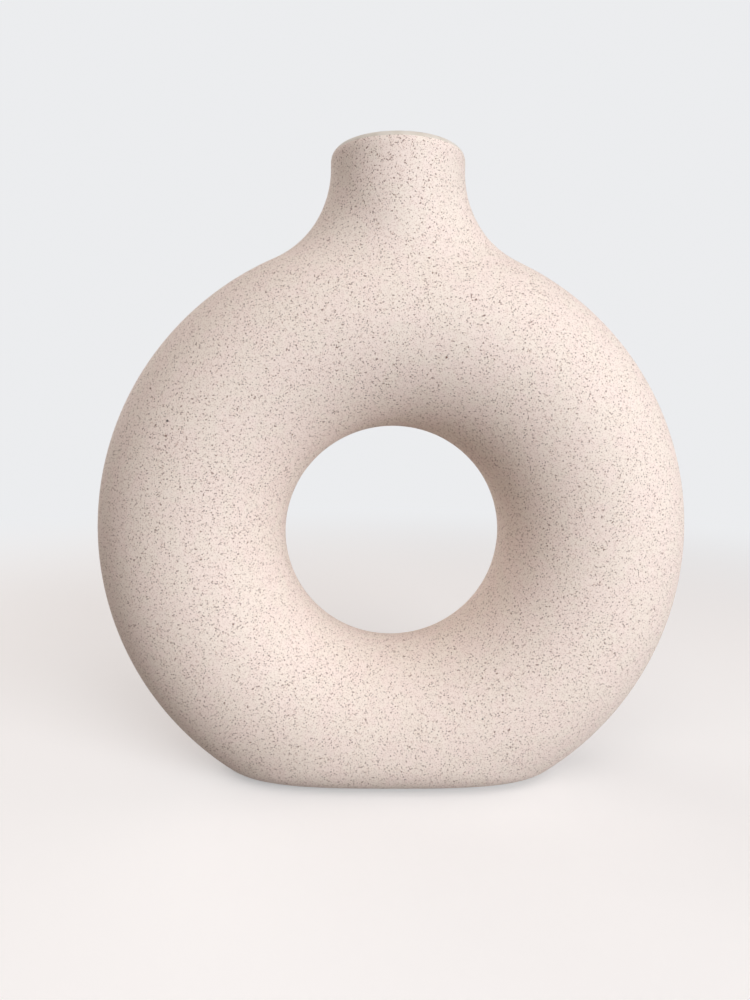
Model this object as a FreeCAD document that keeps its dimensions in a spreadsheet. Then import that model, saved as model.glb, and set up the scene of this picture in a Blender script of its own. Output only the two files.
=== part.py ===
# Donut vase: an upright hollow ring of speckled stoneware with a short neck on top.
# Millimetres. +Z is up, X is the width, Y the depth, and the front faces -Y.
# The origin is the centre of the foot, on the surface that the vase stands on.

import FreeCAD, Part
import math
import os
import Sketcher

Vector = FreeCAD.Vector

EDGE_POINTS = 9  # points at which an edge is tested, its ends among them
HALF_TURN = 180  # degrees
WIDEST_SHARE = 0.9  # most of the height from a floor to the ring's widest line that its rounding takes

# Driving dimensions: alias, value, meaning

SIZES = [
    ("ring_outer_radius", 110.0, "ring, centre to outside, over the glaze"),
    ("ring_hole_radius", 40.8, "ring, centre to the edge of the hole, over the glaze"),
    ("ring_half_depth", 32.0, "half of the ring's thickness, front to back, over the glaze"),
    ("base_cut", 17.6, "height that the flat base takes off the bottom of the ring"),
    ("base_rounding", 15.0, "edge between the ring and the flat base"),
    ("neck_radius", 24.2, "neck, over the glaze"),
    ("neck_rise", 29.3, "rim above the crest of the ring"),
    ("neck_straight", 2.4, "neck wall between the rounded rim and the hollow curve of the shoulder"),
    ("lip_rounding", 4.5, "outer edge of the rim"),
    ("mouth_rounding", 1.2, "inner edge of the rim, on the clay"),
    ("ring_wall", 5.0, "cast clay of the ring"),
    ("neck_wall", 8.0, "cast clay of the neck, where more slip gathers"),
    ("coat", 0.4, "fired glaze, outside and inside"),
    ("lip_band", 2.4, "top of the rim that the inner glaze covers"),
    ("bare_foot", 2.5, "bottom edge that is wiped clean of glaze"),
    ("foot_band", 14.5, "from the edge of the flat base in to the hollow under the foot"),
    ("foot_hollow", 1.5, "depth of the hollow under the foot"),
    ("overrun", 5.0, "how far a cutting shape passes what it cuts"),
    ("edge_match", 0.01, "how near an edge lies to the place where it is looked for"),
]

# Formulas that several features share. The shoulder's hollow curve touches the ring and the straight neck:
# its centre lies at the shoulder's top, which is measured from the centre of the ring.

RING_MID = "((Sizes.ring_outer_radius + Sizes.ring_hole_radius) / 2)"
RING_HALF_WIDTH = "((Sizes.ring_outer_radius - Sizes.ring_hole_radius) / 2)"
RING_HEIGHT = "(Sizes.ring_outer_radius - Sizes.base_cut)"
NECK_START = f"({RING_HEIGHT} + {RING_MID})"
RIM_HEIGHT = f"({RING_HEIGHT} + Sizes.ring_outer_radius + Sizes.neck_rise)"
SHOULDER_TOP = "(Sizes.ring_outer_radius + Sizes.neck_rise - Sizes.lip_rounding - Sizes.neck_straight)"
SHOULDER_BLEND = (f"(({SHOULDER_TOP}^2 - Sizes.ring_outer_radius^2 + Sizes.neck_radius^2)"
                  " / (2 * (Sizes.ring_outer_radius - Sizes.neck_radius)))")
REACH = "(Sizes.ring_outer_radius + Sizes.overrun)"

doc = FreeCAD.newDocument("DonutVase")
sheet = doc.addObject("Spreadsheet::Sheet", "Sizes")
for row, (alias, value, meaning) in enumerate(SIZES, start=1):
    sheet.set(f"A{row}", meaning)
    sheet.set(f"B{row}", str(value))
    sheet.setAlias(f"B{row}", alias)
doc.recompute()


def value_of(formula):
    """Works a formula out with the numbers that the sheet holds now."""
    return float(sheet.evalExpression(formula))


def add_sketch(body, name, role, height="0"):
    """Starts a sketch on one of the body's own origin planes, raised by a formula."""
    sketch = body.newObject("Sketcher::SketchObject", name)
    plane = next(item for item in body.Origin.OriginFeatures if item.Role == role)
    sketch.AttachmentSupport = [(plane, "")]
    sketch.MapMode = "FlatFace"
    upward = "z" if role == "XY_Plane" else "y"
    sketch.setExpression(f"AttachmentOffset.Base.{upward}", height)
    return sketch


def bind(sketch, name, formula, *constraint):
    """Adds a sized constraint under a name and ties it to a formula."""
    index = sketch.addConstraint(Sketcher.Constraint(*constraint, value_of(formula)))
    sketch.renameConstraint(index, name)
    sketch.setExpression(f"Constraints.{name}", formula)


def add_feature(body, kind, name):
    """Adds a feature that leaves its faces split, because a ring face that closes on itself cuts badly."""
    feature = body.newObject(f"PartDesign::{kind}", name)
    feature.Refine = False
    return feature


def draw_circle(sketch, radius):
    circle = sketch.addGeometry(Part.Circle(Vector(), Vector(0, 0, 1), value_of(radius)), False)
    sketch.addConstraint(Sketcher.Constraint("Coincident", circle, 3, -1, 1))
    bind(sketch, "radius", radius, "Radius", circle)


def is_wide(half_width, half_height):
    return value_of(half_width) >= value_of(half_height)


def ellipse_at(centre, half_width, half_height):
    """Makes an ellipse, centred on the Y axis, from its longer half size and its shorter one."""
    middle = Vector(0, value_of(centre), 0)
    right_end = middle + Vector(value_of(half_width), 0, 0)
    top_end = middle + Vector(0, value_of(half_height), 0)
    if is_wide(half_width, half_height):
        return Part.Ellipse(right_end, top_end, middle)
    return Part.Ellipse(top_end, right_end, middle)


def size_oval(sketch, oval, name, centre, half_width, half_height):
    """Ties an ellipse, or an arc of one, to its centre on the Y axis and to its half sizes."""
    major, minor = oval + 1, oval + 2
    across, along = (major, minor) if is_wide(half_width, half_height) else (minor, major)
    sketch.exposeInternalGeometry(oval)
    sketch.addConstraint(Sketcher.Constraint("Horizontal", across))
    sketch.addConstraint(Sketcher.Constraint("PointOnObject", oval, 3, -2))
    bind(sketch, f"{name}_width", f"2 * {half_width}", "Distance", across)
    bind(sketch, f"{name}_height", f"2 * {half_height}", "Distance", along)
    if centre == "0":
        sketch.addConstraint(Sketcher.Constraint("PointOnObject", oval, 3, -1))
    else:
        bind(sketch, f"{name}_centre", centre, "DistanceY", -1, 1, oval, 3)


def draw_oval(sketch, half_width, half_height):
    oval = sketch.addGeometry(ellipse_at("0", half_width, half_height), False)
    size_oval(sketch, oval, "oval", "0", half_width, half_height)


def draw_split_oval(sketch, centre, half_width, half_height):
    """Draws an oval as an upper and a lower arc, so that no face of the ring closes on itself."""
    ellipse = ellipse_at(centre, half_width, half_height)
    right_end = 0 if is_wide(half_width, half_height) else -math.pi / 2
    for name, start in (("upper", right_end), ("lower", right_end + math.pi)):
        arc = sketch.addGeometry(Part.ArcOfEllipse(ellipse, start, start + math.pi), False)
        size_oval(sketch, arc, name, centre, half_width, half_height)
        for end in (1, 2):
            sketch.addConstraint(Sketcher.Constraint("Horizontal", arc, end, arc, 3))


def draw_slab(sketch, half_width, top, depth):
    """Draws a rectangle, even about the sketch's Y axis, from top down by depth."""
    side, high = value_of(half_width), value_of(top)
    low = high - value_of(depth)
    corners = [Vector(-side, low), Vector(side, low), Vector(side, high), Vector(-side, high)]
    for index, corner in enumerate(corners):
        sketch.addGeometry(Part.LineSegment(corner, corners[(index + 1) % len(corners)]), False)
    for index in range(len(corners)):
        following = (index + 1) % len(corners)
        sketch.addConstraint(Sketcher.Constraint("Coincident", index, 2, following, 1))
    bottom_line, right_line, top_line, left_line = range(len(corners))
    for line in (bottom_line, top_line):
        sketch.addConstraint(Sketcher.Constraint("Horizontal", line))
    for line in (right_line, left_line):
        sketch.addConstraint(Sketcher.Constraint("Vertical", line))
    bind(sketch, "right", half_width, "DistanceX", -1, 1, top_line, 1)
    bind(sketch, "width", f"2 * {half_width}", "DistanceX", bottom_line, 1, bottom_line, 2)
    bind(sketch, "depth", depth, "DistanceY", right_line, 1, right_line, 2)
    if top == "0":
        sketch.addConstraint(Sketcher.Constraint("PointOnObject", top_line, 1, -1))
    else:
        bind(sketch, "top", top, "DistanceY", -1, 1, top_line, 1)


def edges_where(shape, is_there):
    """Names the edges of a shape whose start, end and inner points all pass a test."""
    names = []
    for number, edge in enumerate(shape.Edges, start=1):
        if all(is_there(point) for point in edge.discretize(EDGE_POINTS)):
            names.append(f"Edge{number}")
    return names


def round_edges(body, name, radius, is_there):
    """Rounds the edges of the body, as it is so far, whose points all pass a test."""
    doc.recompute()
    tip = body.Tip
    names = edges_where(tip.Shape, is_there)
    if not names:
        raise RuntimeError(f"{body.Label}: no edge to round for {name}")
    rounding = add_feature(body, "Fillet", name)
    rounding.Base = (tip, names)
    rounding.setExpression("Radius", radius)


def at_height(height):
    level = value_of(height)
    near = value_of("Sizes.edge_match")
    return lambda point: abs(point.z - level) < near


def on_wall(radius):
    wall = value_of(radius)
    near = value_of("Sizes.edge_match")
    return lambda point: abs((point.x**2 + point.y**2)**0.5 - wall) < near


def on_circle(height, radius):
    level, wall = at_height(height), on_wall(radius)
    return lambda point: level(point) and wall(point)


def on_wall_below(height, radius):
    level, wall = at_height(height), on_wall(radius)
    return lambda point: wall(point) and not level(point)


def vase_form(name, inset, neck_radius, top, floor, floor_rounding):
    """Makes a solid vase shape that lies everywhere inside the glazed outside by inset."""
    body = doc.addObject("PartDesign::Body", name)

    section = add_sketch(body, f"{name}_section", "YZ_Plane", RING_HEIGHT)
    draw_split_oval(section, RING_MID,
                    f"(Sizes.ring_half_depth - {inset})", f"({RING_HALF_WIDTH} - {inset})")
    for side, is_left in (("right", False), ("left", True)):
        ring = add_feature(body, "Revolution", f"{name}_{side}_ring")
        ring.Profile = section
        ring.ReferenceAxis = (section, ["H_Axis"])
        ring.Angle = HALF_TURN
        ring.Reversed = is_left

    circle = add_sketch(body, f"{name}_circle", "XY_Plane", NECK_START)
    draw_circle(circle, neck_radius)
    neck = add_feature(body, "Pad", f"{name}_neck")
    neck.Profile = circle
    neck.setExpression("Length", f"{top} - {NECK_START}")

    slab = add_sketch(body, f"{name}_slab", "XZ_Plane")
    draw_slab(slab, REACH, floor, f"({floor} + Sizes.base_cut + Sizes.overrun)")
    base = add_feature(body, "Pocket", f"{name}_base")
    base.Profile = slab
    base.SideType = "Symmetric"
    base.setExpression("Length", f"2 * {REACH}")

    round_edges(body, f"{name}_shoulder", f"{SHOULDER_BLEND} + {inset}",
                on_wall_below(top, neck_radius))
    widest = f"({RING_HEIGHT} - {RING_MID})"
    round_edges(body, f"{name}_edge", f"min({floor_rounding}; {WIDEST_SHARE} * ({widest} - {floor}))",
                at_height(floor))
    return body


def glazed_form(name):
    body = vase_form(name, "0", "Sizes.neck_radius", RIM_HEIGHT, "0", "Sizes.base_rounding")
    round_edges(body, f"{name}_lip", "Sizes.lip_rounding", at_height(RIM_HEIGHT))
    return body


def clay_form(name):
    body = vase_form(name, "Sizes.coat", CLAY_NECK, CLAY_TOP, "0", "Sizes.base_rounding")
    round_edges(body, f"{name}_lip", "Sizes.lip_rounding - Sizes.coat", at_height(CLAY_TOP))
    return body


def open_mouth(body, hollow, top, mouth_radius, mouth_rounding):
    """Takes a hollow out of the body through its top and rounds the inner edge of the rim."""
    opening = add_feature(body, "Boolean", f"{body.Name}_opening")
    opening.setObjects([hollow])
    opening.Type = "Cut"
    round_edges(body, f"{body.Name}_mouth", mouth_rounding, on_circle(top, mouth_radius))


def add_boolean(kind, name, base, tool):
    boolean = doc.addObject(f"Part::{kind}", name)
    boolean.Base = base
    boolean.Tool = tool
    return boolean


def add_slice(name, bottom, top):
    """Makes a round slab over the whole vase between two heights."""
    slab = doc.addObject("Part::Cylinder", name)
    slab.setExpression("Radius", REACH)
    slab.setExpression("Height", f"{top} - {bottom}")
    slab.setExpression("Placement.Base.z", bottom)
    return slab


# Heights, radii and insets of the surfaces, from the outside in

CLAY_TOP = f"({RIM_HEIGHT} - Sizes.coat)"
PAST_TOP = f"({RIM_HEIGHT} + Sizes.overrun)"
CLAY_NECK = "(Sizes.neck_radius - Sizes.coat)"
CAVITY_INSET = "(Sizes.coat + Sizes.ring_wall)"
CAVITY_NECK = "(Sizes.neck_radius - Sizes.coat - Sizes.neck_wall)"
CAVITY_FLOOR = "(Sizes.foot_hollow + Sizes.ring_wall)"
CAVITY_EDGE = "(Sizes.base_rounding - Sizes.ring_wall)"
LINED_INSET = "(2 * Sizes.coat + Sizes.ring_wall)"
LINED_NECK = "(Sizes.neck_radius - 2 * Sizes.coat - Sizes.neck_wall)"
LINED_FLOOR = "(Sizes.foot_hollow + Sizes.ring_wall + Sizes.coat)"
LINED_EDGE = "(Sizes.base_rounding - Sizes.ring_wall - Sizes.coat)"
LIP_LINE = f"({RIM_HEIGHT} - Sizes.lip_band)"
FOOT_HALF_LENGTH = ("(sqrt((Sizes.ring_outer_radius - Sizes.coat)^2"
                    f" - {RING_HEIGHT}^2) - Sizes.foot_band)")
FOOT_HALF_WIDTH = ("((Sizes.ring_half_depth - Sizes.coat)"
                   f" * sqrt(1 - (({RING_HEIGHT} - {RING_MID}) / ({RING_HALF_WIDTH} - Sizes.coat))^2)"
                   " - Sizes.foot_band)")

# Solid shapes: the glazed outside, the clay under it, the cavity, and the cavity once it is lined

glazed_mass = glazed_form("glazed_mass")
clay_mass = clay_form("clay_mass")
cavity = vase_form("cavity", CAVITY_INSET, CAVITY_NECK, PAST_TOP, CAVITY_FLOOR, CAVITY_EDGE)
lined_cavity = vase_form("lined_cavity", LINED_INSET, LINED_NECK, PAST_TOP, LINED_FLOOR, LINED_EDGE)

# Stoneware body: the cast clay, open at the mouth, with a shallow hollow under its foot

stoneware = clay_form("stoneware")
foot_oval = add_sketch(stoneware, "foot_oval", "XY_Plane")
draw_oval(foot_oval, FOOT_HALF_LENGTH, FOOT_HALF_WIDTH)
foot_hollow = add_feature(stoneware, "Pocket", "foot_hollow_cut")
foot_hollow.Profile = foot_oval
foot_hollow.Reversed = True
foot_hollow.setExpression("Length", "Sizes.foot_hollow")
open_mouth(stoneware, cavity, CLAY_TOP, CAVITY_NECK, "Sizes.mouth_rounding")

# Speckled glaze: the outside coat, from above the bare foot to the band on the lip

outside_coat = add_boolean("Cut", "outside_coat", glazed_mass, clay_mass)
speckled_slice = add_slice("speckled_slice", "Sizes.bare_foot", LIP_LINE)
speckled = add_boolean("Common", "speckled", outside_coat, speckled_slice)

# Liner glaze: the inside coat, which comes up through the mouth and over the lip

lip_slice = add_slice("lip_slice", LIP_LINE, PAST_TOP)
inside_coat = add_boolean("Cut", "inside_coat", cavity, lined_cavity)
inside_below_lip = add_boolean("Cut", "inside_below_lip", inside_coat, lip_slice)
fired_whole = glazed_form("fired_whole")
open_mouth(fired_whole, lined_cavity, RIM_HEIGHT, LINED_NECK, "Sizes.mouth_rounding + Sizes.coat")
whole_lip = add_boolean("Common", "whole_lip", fired_whole, lip_slice)
lip_coat = add_boolean("Cut", "lip_coat", whole_lip, stoneware)
liner = add_boolean("Fuse", "liner", inside_below_lip, lip_coat)
liner.Refine = True

doc.recompute()

# Sub-parts, checked and then written

SUBPARTS = {
    "stoneware_body": stoneware,
    "speckled_glaze": speckled,
    "liner_glaze": liner,
}

for item in doc.Objects:
    if "Invalid" in item.State or "Error" in item.State:
        raise RuntimeError(f"{item.Name} failed: {item.State}")

for label, item in SUBPARTS.items():
    item.Label = label
    if item.Shape.isNull() or not item.Shape.isValid() or len(item.Shape.Solids) != 1:
        raise RuntimeError(f"{label} is not one valid solid")

os.makedirs("parts", exist_ok=True)
for label, item in SUBPARTS.items():
    item.Shape.exportStep(f"parts/{label}.step")
    print(f"{label}: {item.Shape.Volume:.0f} mm3")
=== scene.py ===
import math

import bpy
from mathutils import Matrix, Vector


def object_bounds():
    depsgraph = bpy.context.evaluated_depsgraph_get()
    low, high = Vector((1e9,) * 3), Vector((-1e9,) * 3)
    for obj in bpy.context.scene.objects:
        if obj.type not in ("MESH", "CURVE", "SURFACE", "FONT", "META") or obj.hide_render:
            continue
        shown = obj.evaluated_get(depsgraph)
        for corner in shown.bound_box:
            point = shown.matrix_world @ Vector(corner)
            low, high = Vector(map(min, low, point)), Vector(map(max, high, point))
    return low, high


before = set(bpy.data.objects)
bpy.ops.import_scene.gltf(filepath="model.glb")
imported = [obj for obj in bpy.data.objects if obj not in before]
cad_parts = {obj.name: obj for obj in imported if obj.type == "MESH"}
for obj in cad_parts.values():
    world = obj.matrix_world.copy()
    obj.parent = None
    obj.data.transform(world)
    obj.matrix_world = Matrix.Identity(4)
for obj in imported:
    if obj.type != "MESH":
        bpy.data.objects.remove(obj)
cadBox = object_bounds()
mm = 0.001  # the scene is in metres
print("frame loaded:", ", ".join(sorted(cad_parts)))


def hexColour(code):
    # sRGB hex to the linear colour that the shaders take, with the numbers of the sRGB standard
    shares = [int(code[i:i + 2], 16) / 255 for i in (1, 3, 5)]
    linear = [s / 12.92 if s <= 0.04045 else ((s + 0.055) / 1.055) ** 2.4 for s in shares]
    return (*linear, 1.0)


def addNode(tree, kind, settings=None, inputs=None, links=None):
    # inputs are fixed values and links are sockets, both under the input's name or number
    node = tree.nodes.new(kind)
    for name, value in (settings or {}).items():
        setattr(node, name, value)
    for name, value in (inputs or {}).items():
        node.inputs[name].default_value = value
    for name, socket in (links or {}).items():
        tree.links.new(socket, node.inputs[name])
    return node


softStep = {"interpolation_type": "SMOOTHSTEP"}
colourMix = {"data_type": "RGBA"}  # its inputs are 0 for the share, 6 and 7 for the colours, its output is 2
octaves = {"patches": 3.0, "pepper": 1.0, "grain": 2.0}  # finer noise that is laid over the coarse
cloudEdge = {"From Min": 0.38, "From Max": 0.62}  # noise values between which one tone turns into the other
noGrain = 0.001  # size of a grain that isn't there, just over nothing because it divides


def startMaterial(name, look):
    # the values that are the same all over stand on the shader itself
    material = bpy.data.materials.new(name)
    material.use_nodes = True
    tree = material.node_tree
    shader = tree.nodes["Principled BSDF"]
    shader.inputs["Base Color"].default_value = hexColour(look["colour"])
    shader.inputs["Roughness"].default_value = look["roughness"]
    shader.inputs["IOR"].default_value = look["ior"]
    shader.inputs["Specular IOR Level"].default_value = look["gloss"]
    place = addNode(tree, "ShaderNodeTexCoord").outputs["Object"]
    return material, tree, shader, place


def addPatches(tree, place, patches, colour):  # soft clouds between two near tones
    noise = addNode(tree, "ShaderNodeTexNoise",
                    inputs={"Scale": 1 / patches["size"], "Detail": octaves["patches"]},
                    links={"Vector": place})
    share = addNode(tree, "ShaderNodeMapRange", softStep, cloudEdge, {"Value": noise.outputs["Fac"]})
    tones = addNode(tree, "ShaderNodeMix", colourMix,
                    {6: hexColour(patches["first"]), 7: hexColour(patches["second"])},
                    {0: share.outputs["Result"]})
    mixed = addNode(tree, "ShaderNodeMix", colourMix, {0: patches["share"], 6: hexColour(colour)},
                    {7: tones.outputs[2]})
    return mixed.outputs[2]


def addPepper(tree, place, pepper, under):
    # the finest grains run into each other, so they are the peaks of one fine noise
    noise = addNode(tree, "ShaderNodeTexNoise",
                    inputs={"Scale": 1 / pepper["size"], "Detail": octaves["pepper"]},
                    links={"Vector": place})
    share = addNode(tree, "ShaderNodeMapRange", softStep,
                    {"From Min": pepper["low"], "From Max": pepper["high"], "To Max": pepper["darkest"]},
                    {"Value": noise.outputs["Fac"]})
    mixed = addNode(tree, "ShaderNodeMix", colourMix, {7: hexColour(pepper["colour"])},
                    {0: share.outputs["Result"], 6: under})
    return mixed.outputs[2]


def addSpecks(tree, place, speck, under):
    # each grain is a ball in a cell of its own, with its own size and tone, that the surface cuts through
    cells = addNode(tree, "ShaderNodeTexVoronoi", inputs={"Scale": 1 / speck["spacing"]},
                    links={"Vector": place})
    chance = addNode(tree, "ShaderNodeSeparateColor", links={"Color": cells.outputs["Color"]})
    size = addNode(tree, "ShaderNodeMapRange",
                   inputs={"From Min": 1 - speck["share"], "To Min": noGrain,
                           "To Max": speck["radius"] / speck["spacing"]},
                   links={"Value": chance.outputs["Red"]})
    tone = addNode(tree, "ShaderNodeMapRange",
                   inputs={"To Min": speck["faintest"], "To Max": speck["darkest"]},
                   links={"Value": chance.outputs["Green"]})
    reach = addNode(tree, "ShaderNodeMath", {"operation": "DIVIDE"},
                    links={0: cells.outputs["Distance"], 1: size.outputs["Result"]})
    share = addNode(tree, "ShaderNodeMapRange", softStep, {"From Min": speck["core"], "To Max": 0.0},
                    {"Value": reach.outputs[0], "To Min": tone.outputs["Result"]})
    mixed = addNode(tree, "ShaderNodeMix", colourMix, {7: hexColour(speck["colour"])},
                    {0: share.outputs["Result"], 6: under})
    return mixed.outputs[2]


def addGrain(tree, place, grains, shader):  # fine unevenness of the surface, felt more than seen
    normal = None
    for grain in grains:
        noise = addNode(tree, "ShaderNodeTexNoise",
                        inputs={"Scale": 1 / grain["size"], "Detail": octaves["grain"]},
                        links={"Vector": place})
        links = {"Height": noise.outputs["Fac"]}
        if normal:
            links["Normal"] = normal
        normal = addNode(tree, "ShaderNodeBump", inputs={"Distance": grain["depth"]},
                         links=links).outputs["Normal"]
    tree.links.new(normal, shader.inputs["Normal"])


def makeClayFinish(name, look):
    material, tree, shader, place = startMaterial(name, look)
    colour = addPatches(tree, place, look["patches"], look["colour"])
    for pepper in look["pepper"]:
        colour = addPepper(tree, place, pepper, colour)
    for speck in look["specks"]:
        colour = addSpecks(tree, place, speck, colour)
    tree.links.new(colour, shader.inputs["Base Color"])
    addGrain(tree, place, look["grains"], shader)
    return material


# In the three finishes, the share of the patches is how far the clouds tint the colour, and the share of the
# specks is how many cells hold a grain. Low and high are the noise values between which the pepper darkens,
# core is the part of a grain's radius in full tone, and faintest and darkest are how much a grain hides.

# Speckled glaze: a matte stoneware glaze sprayed over a clay that is full of iron grit. It has no shine,
# a sandy grain, a cream that wanders between pink and green, pepper-fine brown specks and a few iron spots.
# The grit is drawn 0.3 to 0.4 mm across, as coarse as it needs to be to show.
speckledGlaze = {
    "colour": "#F5E8DE",
    "patches": {"size": 7 * mm, "first": "#F5E1DB", "second": "#F0E8DA", "share": 0.25},
    "roughness": 0.72,
    "ior": 1.5,
    "gloss": 0.35,
    "pepper": [
        {"size": 0.28 * mm, "low": 0.56, "high": 0.70, "darkest": 0.72, "colour": "#92593F"},
    ],
    "specks": [
        {"spacing": 0.40 * mm, "radius": 0.38 * mm, "share": 0.17, "core": 0.75, "faintest": 0.45,
         "darkest": 1.0, "colour": "#643522"},
        {"spacing": 11 * mm, "radius": 0.55 * mm, "share": 0.5, "core": 0.6, "faintest": 0.9,
         "darkest": 1.0, "colour": "#2E2723"},
    ],
    "grains": [
        {"size": 4 * mm, "depth": 0.08 * mm},
        {"size": 0.5 * mm, "depth": 0.035 * mm},
    ],
}

# Liner glaze: a thin satin liner, poured in and drained, that closes the clay. It is plain, a little grey
# and smoother than the outside.
linerGlaze = {
    "colour": "#DAD2C6",
    "patches": {"size": 5 * mm, "first": "#D0C7B9", "second": "#DFD8CD", "share": 0.6},
    "roughness": 0.45,
    "ior": 1.5,
    "gloss": 0.5,
    "pepper": [],
    "specks": [],
    "grains": [
        {"size": 2.5 * mm, "depth": 0.04 * mm},
    ],
}

# Bare stoneware: fired clay with a fine grog, wiped clean of glaze round the foot. It is dry and sandy.
bareStoneware = {
    "colour": "#D2C0AC",
    "patches": {"size": 3 * mm, "first": "#C7B29B", "second": "#D9C9B7", "share": 0.6},
    "roughness": 0.92,
    "ior": 1.5,
    "gloss": 0.25,
    "pepper": [
        {"size": 0.7 * mm, "low": 0.5, "high": 0.7, "darkest": 0.5, "colour": "#A38A74"},
    ],
    "specks": [
        {"spacing": 1.4 * mm, "radius": 0.45 * mm, "share": 0.7, "core": 0.6, "faintest": 0.5,
         "darkest": 1.0, "colour": "#5F4A3D"},
    ],
    "grains": [
        {"size": 0.6 * mm, "depth": 0.1 * mm},
    ],
}

finishes = {
    "speckled_glaze": makeClayFinish("speckledGlaze", speckledGlaze),
    "liner_glaze": makeClayFinish("linerGlaze", linerGlaze),
    "stoneware_body": makeClayFinish("bareStoneware", bareStoneware),
}
for name, material in finishes.items():
    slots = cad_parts[name].data.materials
    slots.clear()
    slots.append(material)
print("finishes given to", len(finishes), "pieces")


# Studio: a wide pale floor that fades into a pale sky. What the camera, a mirror or a glass sees is paler
# than the light that they give, so the vase is lit plainly and still stands on white paper.
studio = {
    "floorSize": 12.0,  # metres
    "fadeStart": 0.25,  # metres from the middle of the foot, where the floor begins to turn into the sky
    "fadeEnd": 0.8,
    "roughness": 1.0,
    "gloss": 0.0,
    "bounceColour": "#979390",
    "seenColour": "#E2E1E0",
    "seenGlow": 0.34,
    "farColour": "#000000",  # the far floor takes no light and shows only the sky's glow
    "skyColour": "#FAE6DB",
    "skyStrength": 0.315,
    "skySeenColour": "#F7F8FA",
    "skySeenGlow": 0.9,
}


def addSeen(tree):  # 1 for what the camera, a mirror or a glass looks at, 0 for light on its way
    rays = addNode(tree, "ShaderNodeLightPath")
    seen = addNode(tree, "ShaderNodeMath", {"operation": "MAXIMUM"},
                   links={0: rays.outputs["Is Camera Ray"], 1: rays.outputs["Is Glossy Ray"]})
    seen = addNode(tree, "ShaderNodeMath", {"operation": "MAXIMUM"},
                   links={0: seen.outputs[0], 1: rays.outputs["Is Transmission Ray"]})
    return seen.outputs[0]


def makeFloor(look):
    bpy.ops.object.select_all(action="DESELECT")
    bpy.ops.mesh.primitive_plane_add(size=look["floorSize"])
    floor = bpy.context.object
    floor.name = "floor"
    material = bpy.data.materials.new("paper")
    material.use_nodes = True
    tree = material.node_tree
    shader = tree.nodes["Principled BSDF"]
    shader.inputs["Roughness"].default_value = look["roughness"]
    shader.inputs["Specular IOR Level"].default_value = look["gloss"]
    shader.inputs["Emission Color"].default_value = hexColour(look["skySeenColour"])
    seen = addSeen(tree)
    place = addNode(tree, "ShaderNodeTexCoord").outputs["Object"]
    away = addNode(tree, "ShaderNodeVectorMath", {"operation": "LENGTH"}, links={0: place})
    far = addNode(tree, "ShaderNodeMapRange", softStep,
                  {"From Min": look["fadeStart"], "From Max": look["fadeEnd"]},
                  {"Value": away.outputs["Value"]}).outputs["Result"]
    paper = addNode(tree, "ShaderNodeMix", colourMix,
                    {6: hexColour(look["bounceColour"]), 7: hexColour(look["seenColour"])}, {0: seen})
    paper = addNode(tree, "ShaderNodeMix", colourMix, {7: hexColour(look["farColour"])},
                    {0: far, 6: paper.outputs[2]})
    glow = addNode(tree, "ShaderNodeMapRange",
                   inputs={"To Min": look["seenGlow"], "To Max": look["skySeenGlow"]}, links={"Value": far})
    glow = addNode(tree, "ShaderNodeMath", {"operation": "MULTIPLY"},
                   links={0: glow.outputs["Result"], 1: seen})
    tree.links.new(paper.outputs[2], shader.inputs["Base Color"])
    tree.links.new(glow.outputs[0], shader.inputs["Emission Strength"])
    floor.data.materials.append(material)


def makeSky(look):
    world = bpy.data.worlds.new("sky")
    bpy.context.scene.world = world
    world.use_nodes = True
    tree = world.node_tree
    sky = tree.nodes["Background"]
    seen = addSeen(tree)
    colour = addNode(tree, "ShaderNodeMix", colourMix,
                     {6: hexColour(look["skyColour"]), 7: hexColour(look["skySeenColour"])}, {0: seen})
    strength = addNode(tree, "ShaderNodeMapRange",
                       inputs={"To Min": look["skyStrength"], "To Max": look["skySeenGlow"]},
                       links={"Value": seen})
    tree.links.new(colour.outputs[2], sky.inputs["Color"])
    tree.links.new(strength.outputs["Result"], sky.inputs["Strength"])


makeFloor(studio)
makeSky(studio)

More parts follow.
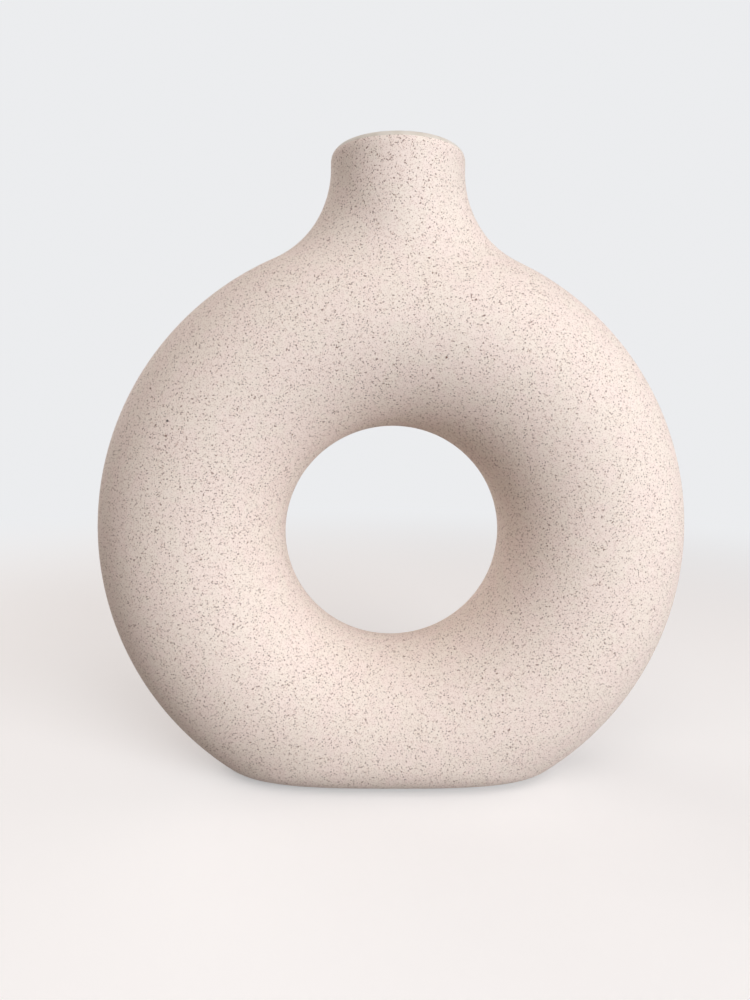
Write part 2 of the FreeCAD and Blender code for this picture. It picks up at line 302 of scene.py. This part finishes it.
# Lamps: one large soft box low at the right in front, and two weak ones that open the shadows. Turn and
# rise are in degrees, seen from the vase, with 0 on the camera's side; the rest is in metres and watts.
lamps = {
    "softKey": {"turn": 37, "rise": 12, "distance": 1.3, "width": 0.9, "height": 0.6, "energy": 14.2,
                "colour": "#F6FAFF"},
    "frontFill": {"turn": 0, "rise": 50, "distance": 1.3, "width": 0.9, "height": 0.9, "energy": 3.4,
                  "colour": "#FFFFFF"},
    "backFill": {"turn": -125, "rise": 22, "distance": 1.3, "width": 0.9, "height": 0.9, "energy": 5.5,
                 "colour": "#FFFCFA"},
}


def makeLamp(name, look, target):
    lamp = bpy.data.objects.new(name, bpy.data.lights.new(name, "AREA"))
    bpy.context.scene.collection.objects.link(lamp)
    lamp.data.shape = "RECTANGLE"
    lamp.data.size = look["width"]
    lamp.data.size_y = look["height"]
    lamp.data.energy = look["energy"]
    lamp.data.color = hexColour(look["colour"])[:3]
    lamp.visible_camera = False  # other views look past the lamps
    turn = math.radians(look["turn"])
    rise = math.radians(look["rise"])
    outward = Vector((math.sin(turn) * math.cos(rise), -math.cos(turn) * math.cos(rise), math.sin(rise)))
    aim = (-outward).to_track_quat("-Z", "Y").to_matrix().to_4x4()
    lamp.matrix_world = Matrix.Translation(target + look["distance"] * outward) @ aim


vaseMiddle = (Vector(cadBox[0]) + Vector(cadBox[1])) / 2
for name, look in lamps.items():
    makeLamp(name, look, vaseMiddle)

# Camera: the photographer's place and aim, in the vase's own frame
cameraView = {
    "place": (-13.5 * mm, -283.3 * mm, 138.0 * mm),
    "turnRight": 1.37,  # degrees, as the tilt and the roll are
    "tiltDown": 6.64,
    "roll": 0.75,
    "lens": 27.0,  # millimetres
    "nearest": 10 * mm,
}
levelAim = 90  # degrees that raise a camera's aim from straight down to level


def makeCamera(view):
    camera = bpy.data.objects.new("camera", bpy.data.cameras.new("camera"))
    bpy.context.scene.collection.objects.link(camera)
    camera.data.lens = view["lens"]
    camera.data.clip_start = view["nearest"]
    turns = [(-view["turnRight"], "Z"), (levelAim - view["tiltDown"], "X"), (view["roll"], "Z")]
    aim = Matrix.Translation(view["place"])
    for degrees, axis in turns:
        aim = aim @ Matrix.Rotation(math.radians(degrees), 4, axis)
    camera.matrix_world = aim
    bpy.context.scene.camera = camera


makeCamera(cameraView)
bpy.context.scene.view_settings.view_transform = "Standard"
print("studio, lamps and camera placed")
